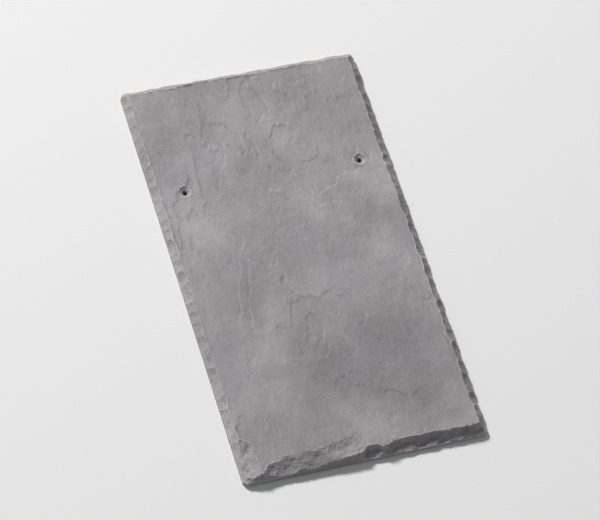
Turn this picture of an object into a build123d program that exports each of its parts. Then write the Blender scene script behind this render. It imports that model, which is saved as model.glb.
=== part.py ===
"""Slate roof tile: one split and hand-dressed slab, lying on its bed with its face up.

Units are millimetres. The origin is the middle of the bed, +Y points to the head (the end
that goes up the slope), -Y to the thick dressed tail, +X to the right and +Z out of the face.

Five closed lines run round the slab, and the dressed edges are the facets between them:
the bed line, the land (top of the upright part), the front and the back of a narrow shelf
that the stone split along, and the brow, where the flat face starts.
"""

import os
from math import sin

from build123d import *

# The slab
length = 559.0
width = 305.0
thickness = 16.0

# Side and head edges: how far each line stands in from the outline, and how high it is
side_land_height = 8.0
side_shelf_front = 1.8
side_shelf_front_height = 10.3
side_shelf_back = 4.2
side_shelf_back_height = 12.4
side_brow = 8.0

# Right part of the tail, where the stone stepped back along a shelf
tail_land_height = 5.5
tail_shelf_front = 1.0
tail_shelf_front_height = 6.4
tail_shelf_back = 8.5
tail_shelf_back_height = 8.2
tail_brow = 13.5

# Left part of the tail, where one long spall left a steep toe under a gentle slope
spall_land_height = 5.5
spall_foot = 1.0
spall_foot_height = 8.6
spall_toe = 3.0
spall_toe_height = 10.2
spall_brow = 24.5
spall_start = 28.0
spall_end = 112.0

# Left corner of the tail, where the same toe has the face right behind it
corner_brow = 6.0

# Right end of the spall, where a lip of stone was left standing
lip_land_height = 4.5
lip_foot = 1.5
lip_foot_height = 7.5
lip_toe = 4.2
lip_toe_height = 12.8
lip_brow = 27.0
lip_end = 154.0

# Over what length one kind of tail turns into the next
tail_fade = 14.0

# How uneven the dressing is, and how far apart its blows fall
blow_pitch = 16.0
land_unevenness = 0.8
shelf_unevenness = 0.7
brow_unevenness = 1.2

# Worn corners: how far each line is cut short there
outline_corner = 5.0
shelf_corner = 4.0
brow_corner = 3.0

# Round bites in the tail: a notch beside the lip, two chips to its right and a worn left corner
scoop_radius = 11.0
scoop_from_tail = 6.0
notch_from_left = 161.0
notch_floor_height = 8.2
chip_from_left = 190.0
chip_floor_height = 10.2
corner_chip_from_left = 297.0
corner_chip_floor_height = 11.2
worn_corner_radius = 42.0
worn_corner_from_left = 5.0
worn_corner_from_tail = 15.0
worn_corner_floor_height = 10.4

# Nail holes, punched from the bed so that the face spalls into a seat for the nail's head
nail_hole_radius = 2.5
nail_from_head = 160.0
nail_from_side = 40.0
nail_seat_radius = 8.0
nail_seat_depth = 3.5

SIDES_OF_SLAB = 4


def sway(step, phase):
    """A number from -1 to 1 that changes unevenly from one blow to the next."""
    return 0.6 * sin(2.4 * step + phase) + 0.4 * sin(5.1 * step + 2.0 * phase)


def blows_along(side_length):
    """How many blows dress an edge of this length."""
    return max(4, round(side_length / blow_pitch))


def share_between(from_left, start, end):
    """1 from start to end along the tail and 0 elsewhere, with short fades."""
    rise = (from_left - start) / tail_fade
    fall = (end - from_left) / tail_fade
    return max(0.0, min(1.0, rise, fall))


def tail_shares(from_left):
    """How much of each kind of tail there is here: stepped, corner, spall and lip."""
    corner = share_between(from_left, -tail_fade, spall_start + tail_fade)
    spall = share_between(from_left, spall_start, spall_end)
    lip = share_between(from_left, spall_end - tail_fade, lip_end)
    return (1.0 - corner - spall - lip, corner, spall, lip)


def line_round(side, tail_kinds, corner, unevenness=0.0, phase=0.0):
    """One closed line round the slab, as points from the left tail corner, anticlockwise.

    side is (reach in from the outline, height above the bed) on the plain edges, and
    tail_kinds has such a pair for each kind of tail.
    """
    stepped_reach = tail_kinds[0][0]
    left_x = side[0] - width / 2
    tail_y = stepped_reach - length / 2
    head_y = length / 2 - side[0]
    corners = [(left_x, tail_y), (-left_x, tail_y), (-left_x, head_y), (left_x, head_y)]
    points = []
    for number in range(SIDES_OF_SLAB):
        start = Vector(*corners[number])
        run = Vector(*corners[(number + 1) % SIDES_OF_SLAB]) - start
        forward = run.normalized()
        inward = Vector(0, 0, 1).cross(forward)
        is_tail = number == 0
        blows = blows_along(length if number % 2 else width)
        for blow in range(blows + 1):
            along = corner + (run.length - 2 * corner) * blow / blows
            further = 0.0
            height = side[1]
            if is_tail:
                shares = tail_shares(along + side[0])
                pairs = list(zip(shares, tail_kinds))
                further = sum(share * kind[0] for share, kind in pairs) - stepped_reach
                height = sum(share * kind[1] for share, kind in pairs)
            spot = start + forward * along + inward * (further + unevenness * sway(blow, phase))
            points.append(Vector(spot.X, spot.Y, height))
    return points


def roughened(points, unevenness, phase):
    """The same points, raised and lowered by the blows."""
    return [
        Vector(spot.X, spot.Y, spot.Z + unevenness * sway(step, phase))
        for step, spot in enumerate(points)
    ]


def facets(lower, upper):
    """Triangles between two closed lines that have as many points as each other."""
    faces = []
    count = len(lower)
    for here in range(count):
        after = (here + 1) % count
        faces.append(Face(Wire.make_polygon((lower[here], lower[after], upper[after]))))
        faces.append(Face(Wire.make_polygon((lower[here], upper[after], upper[here]))))
    return faces


def dressed_slab():
    """The slab with all four edges dressed from the face side."""
    bed = line_round((0, 0), [(0, 0)] * 4, outline_corner)
    spall_land = (0, spall_land_height)
    land = line_round(
        (0, side_land_height),
        [(0, tail_land_height), spall_land, spall_land, (0, lip_land_height)],
        outline_corner,
    )
    foot = (spall_foot, spall_foot_height)
    shelf_front = line_round(
        (side_shelf_front, side_shelf_front_height),
        [(tail_shelf_front, tail_shelf_front_height), foot, foot, (lip_foot, lip_foot_height)],
        shelf_corner,
        shelf_unevenness,
        0.4,
    )
    toe = (spall_toe, spall_toe_height)
    shelf_back = line_round(
        (side_shelf_back, side_shelf_back_height),
        [(tail_shelf_back, tail_shelf_back_height), toe, toe, (lip_toe, lip_toe_height)],
        shelf_corner,
        shelf_unevenness,
        1.9,
    )
    brow_reaches = (tail_brow, corner_brow, spall_brow, lip_brow)
    brow = line_round(
        (side_brow, thickness),
        [(reach, thickness) for reach in brow_reaches],
        brow_corner,
        brow_unevenness,
        2.7,
    )
    lines = [bed, roughened(land, land_unevenness, 1.3), shelf_front, shelf_back, brow]
    faces = [Face(Wire.make_polygon(reversed(bed))), Face(Wire.make_polygon(brow))]
    for lower, upper in zip(lines, lines[1:]):
        faces += facets(lower, upper)
    return Solid(Shell(faces))


def tail_scoop(from_left, floor_height, from_tail=scoop_from_tail, radius=scoop_radius):
    """A round bite near the tail, down to this height above the bed."""
    place = (from_left - width / 2, from_tail - length / 2, floor_height + radius)
    return Pos(*place) * Sphere(radius)


def nail_hole(side):
    """One punched hole with its spalled seat; side is -1 on the left and 1 on the right."""
    place = (side * (width / 2 - nail_from_side), length / 2 - nail_from_head, thickness / 2)
    bore = Pos(*place) * Cylinder(nail_hole_radius, 2 * thickness)
    seat = Pos(place[0], place[1], thickness) * Cone(
        nail_hole_radius,
        nail_seat_radius,
        nail_seat_depth,
        align=(Align.CENTER, Align.CENTER, Align.MAX),
    )
    return [bore, seat]


cutters = [
    tail_scoop(notch_from_left, notch_floor_height),
    tail_scoop(chip_from_left, chip_floor_height),
    tail_scoop(corner_chip_from_left, corner_chip_floor_height),
    tail_scoop(
        worn_corner_from_left,
        worn_corner_floor_height,
        worn_corner_from_tail,
        worn_corner_radius,
    ),
]
slate = dressed_slab()
for cutter in cutters + nail_hole(-1) + nail_hole(1):
    slate = slate - cutter

os.makedirs("parts", exist_ok=True)
export_step(slate, "parts/slate.step")
print("slate", slate.bounding_box().size, "volume", round(slate.volume))
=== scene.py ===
# %% [markdown]
# # A thick roof slate
#
# The object is one slab of slate, split by hand along its grain and trimmed to a rectangle by
# a row of blows along each edge. It lies on its bed with its face up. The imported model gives
# its size and its place, and everything here is fitted into that box.

# %% Load the frame
import math
import random

import bmesh
import bpy
from mathutils import Matrix, Vector


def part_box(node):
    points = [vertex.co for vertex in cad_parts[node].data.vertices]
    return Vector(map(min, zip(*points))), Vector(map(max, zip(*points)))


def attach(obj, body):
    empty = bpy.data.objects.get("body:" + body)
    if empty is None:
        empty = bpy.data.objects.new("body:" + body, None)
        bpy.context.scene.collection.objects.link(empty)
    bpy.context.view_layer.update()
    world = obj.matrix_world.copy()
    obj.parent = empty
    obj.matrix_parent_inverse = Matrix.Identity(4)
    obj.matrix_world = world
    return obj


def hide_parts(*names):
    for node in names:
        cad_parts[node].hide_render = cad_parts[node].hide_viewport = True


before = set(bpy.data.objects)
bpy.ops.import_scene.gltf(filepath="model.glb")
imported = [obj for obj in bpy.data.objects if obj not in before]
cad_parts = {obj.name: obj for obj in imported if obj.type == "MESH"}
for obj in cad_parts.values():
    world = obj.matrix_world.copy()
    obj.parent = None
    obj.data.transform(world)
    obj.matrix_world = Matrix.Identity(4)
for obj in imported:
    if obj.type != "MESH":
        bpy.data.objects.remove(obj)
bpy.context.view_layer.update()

MM = 0.001
low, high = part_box("slate")
wide, long, thick = high - low
print(f"slate: {wide:.3f} m wide, {long:.3f} m long, {thick:.3f} m thick")

# %% [markdown]
# ## The blank
#
# A slater's edge is not a plain bevel. Seen from the side it has an upright land at the
# bottom, a narrow shelf where the stone let go along its grain, and a brow where the face
# starts. One cube can be grown into that shape: its top is extruded level by level, and at
# each level the four sides are pulled in. A loft or a boolean would also do, but here each
# level stays a ring of points that can be pushed about by hand afterwards.

# %% Sizes of the dressed edges, in millimetres
# Each level: how far it stands in from the outline, and how high it is.
plain_edge = {"land": (0.0, 8.0), "front": (1.8, 10.3), "back": (4.2, 12.4), "brow": (8.0, 16.0)}
stepped_tail = {"land": (0.0, 5.5), "front": (1.0, 6.4), "back": (8.5, 8.2), "brow": (13.5, 16.0)}
spalled_tail = {"land": (0.0, 5.5), "front": (1.0, 8.8), "back": (3.5, 11.0), "brow": (6.0, 16.0)}
lip_of_tail = {"land": (0.0, 4.5), "front": (1.5, 7.5), "back": (4.2, 12.8), "brow": (6.5, 16.0)}
spur_of_tail = {"land": (0.0, 5.5), "front": (1.2, 6.8), "back": (5.2, 9.6), "brow": (9.0, 16.0)}
for level, (reach, height) in plain_edge.items():
    print(f"{level}: {reach} mm in and {height} mm high on the sides and the head")

# %% A cube as high as the land
def bring_forward(piece):
    """Make one object the only selected one."""
    bpy.ops.object.select_all(action="DESELECT")
    piece.select_set(True)
    bpy.context.view_layer.objects.active = piece


def start_editing(piece):
    """Open one object in edit mode, with nothing else selected."""
    bring_forward(piece)
    bpy.ops.object.mode_set(mode="EDIT")
    bpy.ops.mesh.select_mode(type="VERT")


land_height = plain_edge["land"][1] * MM
bpy.ops.object.select_all(action="DESELECT")
bpy.ops.mesh.primitive_cube_add(
    size=1, location=(0, 0, land_height / 2), scale=(wide, long, land_height)
)
slate = bpy.context.object
slate.name = "riven_slate"
bpy.ops.object.transform_apply(location=True, rotation=True, scale=True)
print("cube:", [round(side, 3) for side in slate.dimensions])

# %% Grow it level by level
def take(test):
    """Select the points of the mesh being edited whose place passes the test."""
    mesh = bmesh.from_edit_mesh(bpy.context.object.data)
    for vertex in mesh.verts:
        vertex.select = bool(test(vertex.co))
    mesh.select_mode = {"VERT"}
    mesh.select_flush_mode()
    bmesh.update_edit_mesh(bpy.context.object.data)


def push(test, by):
    """Select points by their place and move them."""
    take(test)
    bpy.ops.transform.translate(value=by)


start_editing(slate)
take(lambda at: at.z > land_height / 2)
below = "land"
for level in ("front", "back", "brow"):
    reach_step = (plain_edge[level][0] - plain_edge[below][0]) * MM
    tail_step = (stepped_tail[level][0] - stepped_tail[below][0]) * MM
    rise = (plain_edge[level][1] - plain_edge[below][1]) * MM
    bpy.ops.mesh.extrude_region_move(TRANSFORM_OT_translate={"value": (0, 0, rise)})
    just_under = plain_edge[level][1] * MM - 0.1 * MM
    push(lambda at: at.z > just_under and at.x < 0, (reach_step, 0, 0))
    push(lambda at: at.z > just_under and at.x > 0, (-reach_step, 0, 0))
    push(lambda at: at.z > just_under and at.y > 0, (0, -reach_step, 0))
    push(lambda at: at.z > just_under and at.y < 0, (0, tail_step, 0))
    take(lambda at: at.z > just_under)
    print(f"{level} grown by {rise / MM:.1f} mm")
    below = level

# %% [markdown]
# ## The tail
#
# The tail is the end that shows on a roof, and its section changes along its width: a long
# spall on the left, a lip, a spur, and a step on the right. Each stretch could be modelled by
# itself and joined on. Here the blank is sliced into columns and each column's points are
# pushed to the section at that place, so one kind of tail runs into the next in one mesh.

# %% Slice the tail into columns
tail_columns = (
    # from left, shape, how much further in its brow stands
    (12.0, spalled_tail, 0.0),
    (38.0, spalled_tail, 0.0),
    (64.0, spalled_tail, 0.0),
    (92.0, spalled_tail, 0.0),
    (118.0, lip_of_tail, 0.0),
    (136.0, lip_of_tail, 0.0),
    (149.0, lip_of_tail, 1.0),
    (156.0, stepped_tail, 0.5),
    (168.0, stepped_tail, 0.0),
    (174.0, spur_of_tail, 0.0),
    (181.0, spur_of_tail, 0.5),
    (189.0, stepped_tail, -0.8),
    (204.0, stepped_tail, 1.2),
    (221.0, stepped_tail, 0.2),
    (237.0, stepped_tail, 1.0),
    (256.0, stepped_tail, -0.6),
    (270.0, stepped_tail, -2.2),
    (289.0, stepped_tail, -1.4),
)
tail_long = 34 * MM
behind_tail = low.y + tail_long


def slice_at(place, facing, keep_all=True):
    """Cut through the whole mesh with a plane; with keep_all off, what the plane faces goes."""
    bpy.ops.mesh.select_all(action="SELECT")
    bpy.ops.mesh.bisect(
        plane_co=place, plane_no=facing, clear_outer=not keep_all, use_fill=not keep_all
    )


slice_at((0, behind_tail, 0), (0, 1, 0))
for column, shape, further in tail_columns:
    slice_at((low.x + column * MM, 0, 0), (1, 0, 0))
print("tail cut into", len(tail_columns) + 1, "columns")

# %% Push each column to its section
near = 0.2 * MM


def on_tail_level(at, level):
    """True for a point of the tail that is still at this level's height."""
    return at.y < behind_tail - near and abs(at.z - plain_edge[level][1] * MM) < near


def at_column(at, column):
    """True for a point in the cut this far from the left side."""
    return abs(at.x - low.x - column * MM) < near


for level in ("brow", "back", "front", "land"):
    for column, shape, further in tail_columns:
        into = shape[level][0] - stepped_tail[level][0]
        if level in ("back", "brow"):
            into += further
        up = shape[level][1] - plain_edge[level][1]
        push(
            lambda at: on_tail_level(at, level) and at_column(at, column),
            (0, into * MM, up * MM),
        )
    # Only the two ends of the tail are still at this height. The brow is as high everywhere.
    if level != "brow":
        drop = (stepped_tail[level][1] - plain_edge[level][1]) * MM
        push(lambda at: on_tail_level(at, level), (0, 0, drop))
    print(level, "of the tail shaped")

# %% Knock off the corners
worn_corner = 5.0 * MM
for side_x in (-1, 1):
    for side_y in (-1, 1):
        corner = Vector((side_x * (wide / 2 - worn_corner), side_y * long / 2, 0))
        slice_at(corner, (side_x, side_y, 0), keep_all=False)
bpy.ops.mesh.select_all(action="SELECT")
bpy.ops.mesh.normals_make_consistent(inside=False)
bpy.ops.object.mode_set(mode="OBJECT")
print("blank:", len(slate.data.vertices), "points")

# %% [markdown]
# ## Blows
#
# Each blow of the slater's iron knocks a shallow shell out of the edge, from the brow down to
# the land, and the shells meet in sharp ridges. A shell is the bite of a flattened ball that
# leans on the edge. Sculpting could do it too, but a row of balls is easy to count and repeat.

# %% The four edges
# Each edge: its way out, its length, and how far it stands from the middle.
tail = (Vector((0, -1)), wide, long / 2)
right_side = (Vector((1, 0)), long, wide / 2)
head = (Vector((0, 1)), wide, long / 2)
left_side = (Vector((-1, 0)), long, wide / 2)
print("edges:", [round(edge[1], 3) for edge in (tail, right_side, head, left_side)], "m long")

# %% Lay rows of flattened balls along them
chance = random.Random(11)
blow_pitch = 15 * MM
blow_half_deep = 9 * MM
blow_half_widths = (15, 26)     # least and most, in millimetres
off_place = 4                   # how far a blow may miss its place, in millimetres
off_lean = 0.12
off_twist = 0.5


def shell(at, out, lean, half_wide, half_tall, half_deep, depth=0.0, twist=0.0, rounds=3):
    """A flattened ball that bites this deep where it leans on an edge.

    out is the edge's outward direction in plan and lean the bevel's slope from level.
    """
    facing = Vector((out[0] * math.sin(lean), out[1] * math.sin(lean), math.cos(lean)))
    along = Vector((-out[1], out[0], 0))
    down = facing.cross(along)
    turned = Matrix((along, down, facing)).transposed() @ Matrix.Rotation(twist, 3, "Z")
    bpy.ops.mesh.primitive_ico_sphere_add(
        subdivisions=rounds,
        radius=1,
        location=Vector(at) + facing * (half_deep - depth),
        rotation=turned.to_euler(),
        scale=(half_wide, half_tall, half_deep),
    )
    return bpy.context.object


def row_of_blows(edge, reach, height, lean, half_tall, deepest, start=0.0):
    """Bites side by side along an edge; reach and height say where their row runs."""
    out, edge_long, stand = edge
    along = Vector((-out.y, out.x))
    count = round(edge_long / blow_pitch)
    bites = []
    for number in range(count + 1):
        place = number / count * edge_long + chance.uniform(-off_place, off_place) * MM
        if place < start:
            continue
        middle = out * (stand - reach * MM) + along * (place - edge_long / 2)
        bites.append(
            shell(
                (middle.x, middle.y, height * MM),
                out,
                lean + chance.uniform(-off_lean, off_lean),
                half_wide=chance.uniform(*blow_half_widths) * MM,
                half_tall=chance.uniform(0.8, 1.2) * half_tall * MM,
                half_deep=blow_half_deep,
                depth=chance.uniform(0.2, 1.0) * deepest * MM,
                twist=chance.uniform(-off_twist, off_twist),
            )
        )
    return bites


blows = []
for edge in (right_side, head, left_side):
    blows += row_of_blows(edge, reach=5.0, height=12.4, lean=0.8, half_tall=18, deepest=1.8)
# One long spall took the left of the tail, so its rows start beyond it: brow first, then land.
stepped_from = 184 * MM
blows += row_of_blows(
    tail, reach=11.0, height=12.2, lean=1.0, half_tall=9, deepest=1.8, start=stepped_from
)
blows += row_of_blows(
    tail, reach=0.8, height=6.0, lean=0.6, half_tall=6, deepest=0.9, start=stepped_from
)
print(len(blows), "blows")

# %% Join them and make their skin uneven
def joined(parts):
    """Join several objects into one."""
    bring_forward(parts[0])
    for part in parts:
        part.select_set(True)
    bpy.ops.object.join()
    bpy.ops.object.transform_apply(location=True, rotation=True, scale=True)
    return bpy.context.object


def apply_new(piece, kind, **settings):
    """Add a modifier, set it and apply it at once, as with the buttons."""
    bring_forward(piece)
    bpy.ops.object.modifier_add(type=kind)
    modifier = piece.modifiers[-1]
    for name, value in settings.items():
        setattr(modifier, name, value)
    bpy.ops.object.modifier_apply(modifier=modifier.name)


def texture(name, kind, size, **settings):
    """A texture for a displacement, with features of about this size."""
    made = bpy.data.textures.new(name, kind)
    made.noise_scale = size
    for setting, value in settings.items():
        setattr(made, setting, value)
    return made


def hackled(cutter, unevenness):
    """Make a cutter's smooth skin uneven, so that what it cuts looks broken and not scooped."""
    for name, size, share in (("coarse", 16 * MM, 1.0), ("fine", 5 * MM, 0.35)):
        apply_new(
            cutter,
            "DISPLACE",
            texture=texture(f"hackle_{name}", "CLOUDS", size, noise_depth=1),
            texture_coords="LOCAL",
            mid_level=0.5,
            strength=unevenness * share,
        )
    return cutter


blow_unevenness = 1.2 * MM
blow_cutter = hackled(joined(blows), blow_unevenness)
print("cutter of the blows:", len(blow_cutter.data.vertices), "points")

# %% Cut them away
def cut_away(piece, cutter):
    """Take a cutter's shape out of a piece and delete the cutter. Its bites may overlap."""
    apply_new(
        piece, "BOOLEAN", object=cutter, operation="DIFFERENCE", solver="EXACT", use_self=True
    )
    bpy.data.objects.remove(cutter)


cut_away(slate, blow_cutter)
print("after the blows:", len(slate.data.vertices), "points")

# %% [markdown]
# ## The long spall and the bites
#
# Where a blow went wrong it took more than its share: one long shallow spall on the left of
# the tail, a round notch at the end of its lip, a chip further on, and the worn corners. They
# could be carved from the columns, but the same flattened balls, placed one by one and with a
# rougher skin, leave the curved floor and the sharp rim of a real break.

# %% Cut the long spall, the notch, the chip and the corners
down_slope = Vector((0, -1))
to_left = Vector((-0.99, 0.12))
to_right = Vector((0.9, -0.43))
bites = (
    # way out, from left, from tail, height, lean, half wide, half tall, half deep, twist
    (down_slope, 82.0, 12.0, 12.3, 0.26, 72.0, 55.0, 16.0, 0.06),
    (down_slope, 98.0, 12.0, 11.9, 0.24, 32.0, 34.0, 13.0, 0.20),
    (down_slope, 62.0, 11.0, 11.8, 0.27, 28.0, 32.0, 12.0, -0.30),
    (down_slope, 47.0, 5.0, 9.6, 0.30, 30.0, 26.0, 12.0, 0.35),
    (down_slope, 126.0, 17.0, 13.5, 0.04, 34.0, 23.0, 9.0, 0.12),
    (down_slope, 161.0, 6.0, 8.2, 0.60, 9.0, 13.0, 12.0, 0.30),
    (down_slope, 190.0, 9.0, 10.2, 0.75, 9.0, 11.0, 9.0, -0.30),
    (to_left, 17.0, 15.0, 12.8, 0.24, 46.0, 24.0, 9.0, 0.10),
    (to_left, 6.0, 8.0, 9.8, 0.55, 26.0, 16.0, 9.0, 0.0),
    (to_right, 297.0, 9.0, 11.2, 0.70, 12.0, 12.0, 9.0, -0.20),
)
bite_unevenness = 4.0 * MM
bite_shells = []
for way_out, from_left, from_tail, height, lean, half_wide, half_tall, half_deep, twist in bites:
    at = (low.x + from_left * MM, low.y + from_tail * MM, height * MM)
    sizes = (half_wide * MM, half_tall * MM, half_deep * MM)
    bite_shells.append(shell(at, way_out, lean, *sizes, twist=twist, rounds=4))
cut_away(slate, hackled(joined(bite_shells), bite_unevenness))
print("after", len(bites), "bites:", len(slate.data.vertices), "points")

# %% [markdown]
# ## Nail holes
#
# The holes were punched from the bed, so the face burst into a ragged seat that takes the
# nail's head. A cylinder cuts the hole and a cone its seat. By themselves they would look
# drilled, so a ring of small shells breaks the rim.

# %% Punch the nail holes
nail_radius = 2.5 * MM
nail_from_head = 160 * MM
nail_from_side = 40 * MM
seat_radius = 8 * MM
seat_depth = 3.5 * MM
just_above = 0.01 * MM
round_enough = 32
bursts_round_hole = 5
burst_share_of_seat = 0.6       # how far out on the seat a burst starts
burst_lean = -0.35
burst_unevenness = 1.0 * MM
# Least and most of a burst's half width, half height, half depth and bite, in millimetres
burst_sizes = ((5, 8), (4, 7), (4, 5), (1.0, 2.4))

for side in (-1, 1):
    hole_x = side * (wide / 2 - nail_from_side)
    hole_y = high.y - nail_from_head
    bpy.ops.mesh.primitive_cylinder_add(
        vertices=round_enough,
        radius=nail_radius,
        depth=3 * thick,
        location=(hole_x, hole_y, thick / 2),
    )
    cut_away(slate, bpy.context.object)
    bpy.ops.mesh.primitive_cone_add(
        vertices=round_enough,
        radius1=nail_radius,
        radius2=seat_radius,
        depth=seat_depth,
        location=(hole_x, hole_y, high.z - seat_depth / 2 + just_above),
    )
    cut_away(slate, bpy.context.object)
    bursts = []
    for number in range(bursts_round_hole):
        turn = number * 2 * math.pi / bursts_round_hole + chance.uniform(-0.4, 0.4)
        away = Vector((math.cos(turn), math.sin(turn)))
        burst_x = hole_x + away.x * seat_radius * burst_share_of_seat
        burst_y = hole_y + away.y * seat_radius * burst_share_of_seat
        sizes = [chance.uniform(*between) * MM for between in burst_sizes]
        twist = chance.uniform(-0.6, 0.6)
        bursts.append(shell((burst_x, burst_y, high.z), away, burst_lean, *sizes, twist=twist))
    cut_away(slate, hackled(joined(bursts), burst_unevenness))
print("after punching:", len(slate.data.vertices), "points")

# %% [markdown]
# ## Even points all over
#
# Relief needs points to move. Subdividing would follow the long thin faces that the cuts left
# behind. A voxel remesh lays the points a millimetre apart over the whole slab instead, and it
# rounds each corner by about half of that, which suits weathered stone.

# %% Remesh
point_spacing = 1.0 * MM
apply_new(slate, "REMESH", mode="VOXEL", voxel_size=point_spacing, adaptivity=0.0)
print("remeshed:", len(slate.data.vertices), "points")

# %% [markdown]
# ## Where each kind of relief goes
#
# Vertex groups say where a displacement acts: the dressed edges, the split face and the bed.
# They could be painted, but here the points are picked by their place and the way they face,
# and a group is smoothed so that one relief fades into the next. Ledges and flakes come only
# in patches, so they get groups of their own.

# %% Mark the dressed edges, the face and the bed
skin = 0.4 * MM
level_enough = 0.97


def mark(piece, group_name, test, soften):
    """Put the points that pass the test into a vertex group, and soften its border."""
    start_editing(piece)
    mesh = bmesh.from_edit_mesh(piece.data)
    for vertex in mesh.verts:
        vertex.select = bool(test(vertex.co, vertex.normal))
    mesh.select_flush_mode()
    bmesh.update_edit_mesh(piece.data)
    print(f"{group_name}: {sum(vertex.select for vertex in mesh.verts)} points")
    piece.vertex_groups.new(name=group_name)
    piece.vertex_groups.active_index = len(piece.vertex_groups) - 1
    bpy.context.scene.tool_settings.vertex_group_weight = 1.0
    bpy.ops.object.vertex_group_assign()
    bpy.ops.mesh.select_all(action="SELECT")
    if soften:
        bpy.ops.object.vertex_group_smooth(group_select_mode="ACTIVE", factor=0.5, repeat=soften)
    bpy.ops.object.mode_set(mode="OBJECT")


def on_face(at, facing):
    return facing.z > level_enough and at.z > high.z - skin


def on_bed(at, facing):
    return at.z < low.z + skin


mark(slate, "face", on_face, 3)
mark(slate, "bed", on_bed, 0)
mark(slate, "dressed", lambda at, facing: not on_face(at, facing) and not on_bed(at, facing), 3)

# %% Mark patches of the face for ledges and flakes
patch_fades, patch_holds = 0.40, 0.56       # the cloud's values where a patch ends and is full


def mark_patches(piece, source, group_name, patches):
    """Copy a group, then let it hold only in patches, as the texture says."""
    bring_forward(piece)
    piece.vertex_groups.active_index = piece.vertex_groups[source].index
    bpy.ops.object.vertex_group_copy()
    piece.vertex_groups.active.name = group_name
    apply_new(
        piece,
        "VERTEX_WEIGHT_EDIT",
        vertex_group=group_name,
        invert_falloff=True,
        mask_texture=patches,
        mask_tex_use_channel="INT",
        mask_tex_mapping="LOCAL",
    )


for group_name, size in (("ledges", 70 * MM), ("flakes", 34 * MM)):
    patches = texture(f"patches_of_{group_name}", "CLOUDS", size, noise_depth=1, use_color_ramp=True)
    patches.color_ramp.elements[0].position = patch_fades
    patches.color_ramp.elements[1].position = patch_holds
    mark_patches(slate, "face", group_name, patches)
print("groups:", [group.name for group in slate.vertex_groups])

# %% [markdown]
# ## Relief
#
# The face gets slow waves, ripples and grain, and on them ledges and flakes. The dressed edges
# get broken layers, small blows and grit. It could all be sculpted, but textures do it alike
# over the whole slab, and each of them only digs inwards, so the slate stays in its box. Small
# blows are round dimples that meet in sharp ridges, which is what the squared distance in a
# Voronoi texture gives. A layer of slate thins out slowly and breaks off at once, so ledges,
# flakes and broken layers are clouds whose ramp has saw teeth.

# %% Textures of the relief
def stepped(name, drops, basis="BLENDER_ORIGINAL"):
    """Clouds that rise slowly and drop at once, as a layer thins out and then breaks off."""
    made = texture(name, "CLOUDS", 1.0, noise_depth=4, noise_basis=basis, use_color_ramp=True)
    layer_rise, layer_break = 0.12, 0.006
    stops = made.color_ramp.elements
    stops[0].position = drops[0] - layer_rise
    stops[0].color = (1, 1, 1, 1)
    stops[1].position = drops[0]
    stops[1].color = (0, 0, 0, 1)
    for drop, following in zip(drops, drops[1:] + (drops[-1] + layer_rise,)):
        stops.new(drop + layer_break).color = (1, 1, 1, 1)
        stops.new(following).color = (0, 0, 0, 1)
    return made


small_blows = texture("small_blows", "VORONOI", 9.0 * MM, distance_metric="DISTANCE_SQUARED")
grit = texture("grit", "CLOUDS", 2.4 * MM, noise_depth=2)
waves = texture("waves", "CLOUDS", 75 * MM, noise_depth=1)
ripples = texture("ripples", "CLOUDS", 1.0, noise_depth=2)
grain = texture("grain", "CLOUDS", 1.0, noise_depth=3)
bed_waves = texture("bed_waves", "CLOUDS", 60 * MM, noise_depth=3, use_color_ramp=True)
bed_waves.color_ramp.elements[1].position = 0.6
cleaving = stepped("cleaving", (0.42, 0.52), "IMPROVED_PERLIN")
flaking = stepped("flaking", (0.42, 0.52), "IMPROVED_PERLIN")
layers_broken = stepped("layers_broken", (0.38, 0.48, 0.58))
print("textures so far:", len(bpy.data.textures))

# %% Empties that stretch them
def frame_for(name, scale, location=(0, 0, 0)):
    """An empty whose scale stretches a texture: a small scale makes small features."""
    bpy.ops.object.empty_add(location=location)
    empty = bpy.context.object
    empty.name = name
    empty.scale = scale
    bpy.context.view_layer.update()
    return empty


along_grain = frame_for("along_grain", (9 * MM, 14 * MM, 9 * MM))
cleaved_shape = frame_for("cleaved_shape", (85 * MM, 190 * MM, 1.0), (40 * MM, 70 * MM, 0))
thin_layers = frame_for("thin_layers", (13 * MM, 13 * MM, 2.2 * MM))
flake_shape = frame_for("flake_shape", (30 * MM, 64 * MM, 1.0))
rippled = frame_for("rippled", (30 * MM, 42 * MM, 1.0))
helpers = (along_grain, cleaved_shape, thin_layers, flake_shape, rippled)
print("empties:", [helper.name for helper in helpers])

# %% Dig the relief
def dig(piece, pattern, depth, group, direction, stretch):
    """Move the group's points inwards by up to this depth, most where the pattern is low."""
    apply_new(
        piece,
        "DISPLACE",
        texture=pattern,
        texture_coords="OBJECT" if stretch else "LOCAL",
        texture_coords_object=stretch,
        direction=direction,
        mid_level=1.0,
        strength=depth,
        vertex_group=group,
    )


reliefs = (
    # pattern, depth in millimetres, group, direction, what stretches it
    (layers_broken, 0.5, "dressed", "NORMAL", thin_layers),
    (small_blows, 0.3, "dressed", "NORMAL", None),
    (grit, 0.25, "dressed", "NORMAL", None),
    (waves, 1.2, "face", "Z", None),
    (ripples, 0.9, "face", "Z", rippled),
    (bed_waves, 0.7, "bed", "NORMAL", None),
    (grain, 0.14, "face", "Z", along_grain),
    (cleaving, 0.55, "ledges", "Z", cleaved_shape),
    (flaking, 0.25, "flakes", "Z", flake_shape),
)
for pattern, depth, group, direction, stretch in reliefs:
    dig(slate, pattern, depth * MM, group, direction, stretch)
    print(pattern.name, "digs up to", depth, "mm")
for helper in helpers:
    bpy.data.objects.remove(helper)

# %% [markdown]
# ## Fewer triangles
#
# The flat parts don't need a point each millimetre. Merging points by distance would blunt the
# chips, while collapsing edges keeps the points where the surface turns. It can also lift a
# point a hair off its neighbours, so the few that stand out of the bed's plane, or pass one
# just under the top of the box, are pressed flat.

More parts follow.
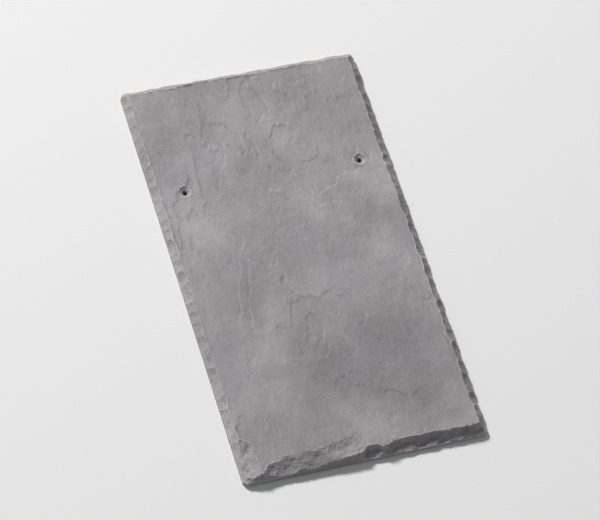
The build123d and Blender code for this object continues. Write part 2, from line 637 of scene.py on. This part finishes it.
# %% Thin the mesh
triangles_wanted = 190000
sharp_from = math.radians(40)
triangles_now = 2 * len(slate.data.polygons)
apply_new(slate, "DECIMATE", ratio=triangles_wanted / triangles_now, use_collapse_triangulate=True)
bpy.ops.object.shade_smooth_by_angle(angle=sharp_from)
print("thinned:", len(slate.data.polygons), "triangles")

# %% Press the stray points flat
ceiling = high.z - 0.05 * MM
start_editing(slate)
for plane, stands_out in ((ceiling, lambda at: at.z > ceiling), (low.z, lambda at: at.z < low.z)):
    take(stands_out)
    bpy.ops.transform.resize(value=(1, 1, 0), center_override=(0, 0, plane))
bpy.ops.object.mode_set(mode="OBJECT")
heights = [vertex.co.z for vertex in slate.data.vertices]
print("pressed between", round(min(heights), 6), "and", round(max(heights), 6))

# %% [markdown]
# ## Where the edges are worn
#
# Weather rubs the arrises paler and leaves dirt in the hollows. That could be painted by hand,
# but Blender's dirty vertex colours measure just that: how far each point stands out of its
# neighbours. The result is kept as a colour attribute on the mesh, which the finish then
# reads. Half is flat, more is an arris and less is a hollow.

# %% Find the worn arrises
bring_forward(slate)
bpy.ops.geometry.color_attribute_add(
    name="wear", domain="CORNER", data_type="FLOAT_COLOR", color=(1, 1, 1, 1)
)
bpy.ops.paint.vertex_color_dirt(
    blur_iterations=2,
    clean_angle=math.radians(115),
    dirt_angle=math.radians(65),
    normalize=False,
)
tones = sorted(spot.color[0] for spot in slate.data.color_attributes["wear"].data)
print("wear:", [round(tones[int(share * (len(tones) - 1))], 3) for share in (0, 0.01, 0.5, 0.99, 1)])

# %% [markdown]
# ## Weathered slate
#
# Slate is a grey mudstone. Weather and its minerals give it cloudy lighter and darker patches
# with a trace of mauve and green, and a patch of painted shade darkens the part that shows on a
# roof right of its middle. Noise in the object's own coordinates needs no unwrapping and has no
# seams. The clouds are the base, and every other pattern is laid over them as a grey near one
# half. An overlay takes half as no change, so a pattern only makes the base a little paler or
# darker.

# %% Start the finish
finish = bpy.data.materials.new("weathered_slate")
finish.use_nodes = True
tree = finish.node_tree
shader = tree.nodes["Principled BSDF"]
coordinates = tree.nodes.new("ShaderNodeTexCoord")


def noise(scale, detail, roughness=0.5, stretch=(1, 1, 1), shift=(0, 0, 0)):
    """Noise on the object's own coordinates; scale is features per metre."""
    mapping = tree.nodes.new("ShaderNodeMapping")
    mapping.inputs["Scale"].default_value = stretch
    mapping.inputs["Location"].default_value = shift
    tree.links.new(coordinates.outputs["Object"], mapping.inputs["Vector"])
    pattern = tree.nodes.new("ShaderNodeTexNoise")
    pattern.inputs["Scale"].default_value = scale
    pattern.inputs["Detail"].default_value = detail
    pattern.inputs["Roughness"].default_value = roughness
    tree.links.new(mapping.outputs["Vector"], pattern.inputs["Vector"])
    return pattern.outputs["Fac"]


def ramp_of(source, *stops):
    """Colours along a pattern's value, as (position, colour) stops."""
    made = tree.nodes.new("ShaderNodeValToRGB")
    while len(made.color_ramp.elements) < len(stops):
        made.color_ramp.elements.new(0.5)
    for element, (position, colour) in zip(made.color_ramp.elements, stops):
        element.position = position
        element.color = (*colour, 1)
    tree.links.new(source, made.inputs["Fac"])
    return made.outputs["Color"]


def grey(value):
    return (value, value, value)


roughness = ramp_of(noise(160, 4), (0.3, grey(0.58)), (0.7, grey(0.80)))
tree.links.new(roughness, shader.inputs["Roughness"])
shader.inputs["Specular IOR Level"].default_value = 0.35
print("finish begun:", finish.name)

# %% Clouds of slate grey
def slate_grey(value):
    """The slate's own grey, a little warmer and redder than neutral."""
    return (1.06 * value, value, 1.025 * value)


def round_patch(centre, radii):
    """1 in the middle of a soft round patch, 0 outside it."""
    mapping = tree.nodes.new("ShaderNodeMapping")
    mapping.inputs["Scale"].default_value = (1 / radii[0], 1 / radii[1], 0)
    mapping.inputs["Location"].default_value = (-centre[0] / radii[0], -centre[1] / radii[1], 0)
    tree.links.new(coordinates.outputs["Object"], mapping.inputs["Vector"])
    patch = tree.nodes.new("ShaderNodeTexGradient")
    patch.gradient_type = "SPHERICAL"
    tree.links.new(mapping.outputs["Vector"], patch.inputs["Vector"])
    return patch.outputs["Fac"]


def less(value, taken, share):
    """A value with a share of another taken off."""
    made = tree.nodes.new("ShaderNodeMath")
    made.operation = "MULTIPLY_ADD"
    made.inputs[1].default_value = -share
    tree.links.new(taken, made.inputs[0])
    tree.links.new(value, made.inputs[2])
    return made.outputs["Value"]


# Painted shade: the part that shows on a roof is a little darker right of its middle.
painted_shade_middle = round_patch((0.06, -0.145), (0.14, 0.13))
clouds = ramp_of(
    less(noise(8, 7, 0.56), painted_shade_middle, 0.34),
    (0.20, slate_grey(0.22)),
    (0.46, slate_grey(0.287)),
    (0.66, slate_grey(0.345)),
)
print("nodes with the clouds:", len(tree.nodes))

# %% Tints, streaks, specks, stains and layers
mauve, green = (0.508, 0.496, 0.499), (0.493, 0.502, 0.503)
tints = ramp_of(noise(10, 2, shift=(3, 1, 0)), (0.38, mauve), (0.62, green))
streaks = ramp_of(
    noise(1, 5, 0.65, stretch=(75, 45, 75)), (0.3, grey(0.475)), (0.7, grey(0.525))
)
specks = ramp_of(noise(320, 6, 0.78), (0.3, grey(0.41)), (0.7, grey(0.59)))
stains = ramp_of(
    noise(1, 6, 0.62, stretch=(30, 16, 30), shift=(5, 2, 0)),
    (0.42, grey(0.475)),
    (0.48, grey(0.498)),
    (0.53, grey(0.502)),
    (0.60, grey(0.52)),
)
# Broken edges show the stone's layers as fine level lines.
layers = ramp_of(
    noise(1, 3, 0.7, stretch=(14, 14, 900)), (0.35, grey(0.44)), (0.65, grey(0.55))
)
print("nodes with the patterns:", len(tree.nodes))

# %% Dust in the hollows and wear on the arrises
# Dark dust settles in the hollows of the face, and rain keeps its high spots clean. What lies
# lower than dust_low is a dressed edge, and keeps its tone.
dust_low = thick - 2.1 * MM
dust_high = thick - 0.6 * MM
place = tree.nodes.new("ShaderNodeSeparateXYZ")
tree.links.new(coordinates.outputs["Object"], place.inputs["Vector"])
level = tree.nodes.new("ShaderNodeMapRange")
level.inputs["From Min"].default_value = dust_low
level.inputs["From Max"].default_value = dust_high
tree.links.new(place.outputs["Z"], level.inputs["Value"])
dust = ramp_of(level.outputs["Result"], (0.0, grey(0.5)), (0.15, grey(0.47)), (1.0, grey(0.525)))

wear = tree.nodes.new("ShaderNodeAttribute")
wear.attribute_name = "wear"
worn = ramp_of(
    wear.outputs["Fac"], (0.43, grey(0.36)), (0.48, grey(0.5)), (0.54, grey(0.5)), (0.64, grey(0.76))
)
print(f"dust lies from {dust_low:.4f} m to {dust_high:.4f} m above the bed")

# %% Lay the patterns over each other
def overlaid(below, above, share):
    """One colour laid over another: half leaves it as it is, more is paler, less is darker."""
    made = tree.nodes.new("ShaderNodeMix")
    made.data_type = "RGBA"
    made.blend_type = "OVERLAY"
    made.inputs["Factor"].default_value = share
    tree.links.new(below, made.inputs["A"])
    tree.links.new(above, made.inputs["B"])
    return made.outputs["Result"]


shares = (
    (tints, 0.8),
    (streaks, 0.8),
    (specks, 0.8),
    (layers, 0.35),
    (dust, 1.0),
    (stains, 1.0),
    (worn, 1.0),
)
colour = clouds
for pattern, share in shares:
    colour = overlaid(colour, pattern, share)
tree.links.new(colour, shader.inputs["Base Color"])
print(len(shares), "patterns laid over the clouds")

# %% Grain, grit and layers in the shading
def bump(height, strength, distance, below=None):
    """Small relief in the shading only, laid over another bump."""
    made = tree.nodes.new("ShaderNodeBump")
    made.inputs["Strength"].default_value = strength
    made.inputs["Distance"].default_value = distance
    tree.links.new(height, made.inputs["Height"])
    if below is not None:
        tree.links.new(below, made.inputs["Normal"])
    return made.outputs["Normal"]


relief = bump(noise(1, 7, 0.7, stretch=(150, 110, 150)), 0.6, 0.8 * MM)
relief = bump(noise(700, 4, 0.65), 0.5, 0.2 * MM, relief)
relief = bump(noise(1, 3, 0.7, stretch=(18, 18, 650)), 0.8, 0.6 * MM, relief)
tree.links.new(relief, shader.inputs["Normal"])

slate.data.materials.clear()
slate.data.materials.append(finish)
print("finish:", finish.name, "with", len(tree.nodes), "nodes")

# %% [markdown]
# ## Its place in the model
#
# The slate is one piece on the model's only body. It stands for the plain solid, which could
# have kept its shape and only got the finish, but its flat facets would show at the edges.

# %% Tie the piece to the frame
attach(slate, "root")
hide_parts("slate")
print(slate.name, "rides root and stands for slate")

# %% [markdown]
# ## Floor, light and camera
#
# The floor is plain and pale. One soft light stands far off beyond the head, to the left and
# high, so that it falls evenly on the floor, grazes the face and leaves the steep parts of the
# tail in shade, and a weak sky fills the shade. A light near the camera would show more of the
# tail but flatten the face. The camera looks at the slate as the photograph does: from the
# tail end, from the left, steeply down.

# %% Floor
floor_wide = 12
bpy.ops.object.select_all(action="DESELECT")
bpy.ops.mesh.primitive_plane_add(size=floor_wide, location=(0, 0, low.z))
floor = bpy.context.object
floor.name = "floor"
pale = bpy.data.materials.new("pale_floor")
pale.use_nodes = True
floor_shader = pale.node_tree.nodes["Principled BSDF"]
floor_shader.inputs["Base Color"].default_value = (0.8, 0.8, 0.79, 1)
floor_shader.inputs["Roughness"].default_value = 0.9
floor.data.materials.append(pale)
print("floor:", floor_wide, "m wide")

# %% Lights
def soft_light(name, towards, distance, size, power):
    """A square soft light that shines at the slate from this direction."""
    bpy.ops.object.light_add(type="AREA", location=Vector(towards).normalized() * distance)
    lamp = bpy.context.object
    lamp.name = name
    lamp.data.size = size
    lamp.data.energy = power
    lamp.rotation_euler = Vector(towards).to_track_quat("Z", "Y").to_euler()
    lamp.visible_camera = False
    return lamp


key = soft_light("key", towards=(-0.4, 0.85, 0.73), distance=9.0, size=1.4, power=960)
bpy.context.scene.world = bpy.data.worlds.new("soft_sky")
bpy.context.scene.world.use_nodes = True
sky = bpy.context.scene.world.node_tree.nodes["Background"]
sky.inputs["Color"].default_value = (0.96, 0.98, 1.0, 1)
sky.inputs["Strength"].default_value = 0.25
bpy.context.scene.view_settings.view_transform = "Standard"
print("key light at", [round(value, 2) for value in key.location])

# %% Camera
camera_distance = 4.15
lens = 205
turn_left = math.radians(28.1)
look_down = math.radians(58.2)
roll = math.radians(13.4)

back = Vector(
    (
        -math.sin(turn_left) * math.cos(look_down),
        -math.cos(turn_left) * math.cos(look_down),
        math.sin(look_down),
    )
)
centre = (low + high) / 2
bpy.ops.object.camera_add(location=centre + back * camera_distance)
camera = bpy.context.object
level_view = back.to_track_quat("Z", "Y")
camera.rotation_euler = (level_view.to_matrix() @ Matrix.Rotation(roll, 3, "Z")).to_euler()
camera.data.lens = lens
camera.data.clip_end = 50
bpy.context.scene.camera = camera
print("camera at", [round(value, 2) for value in camera.location])
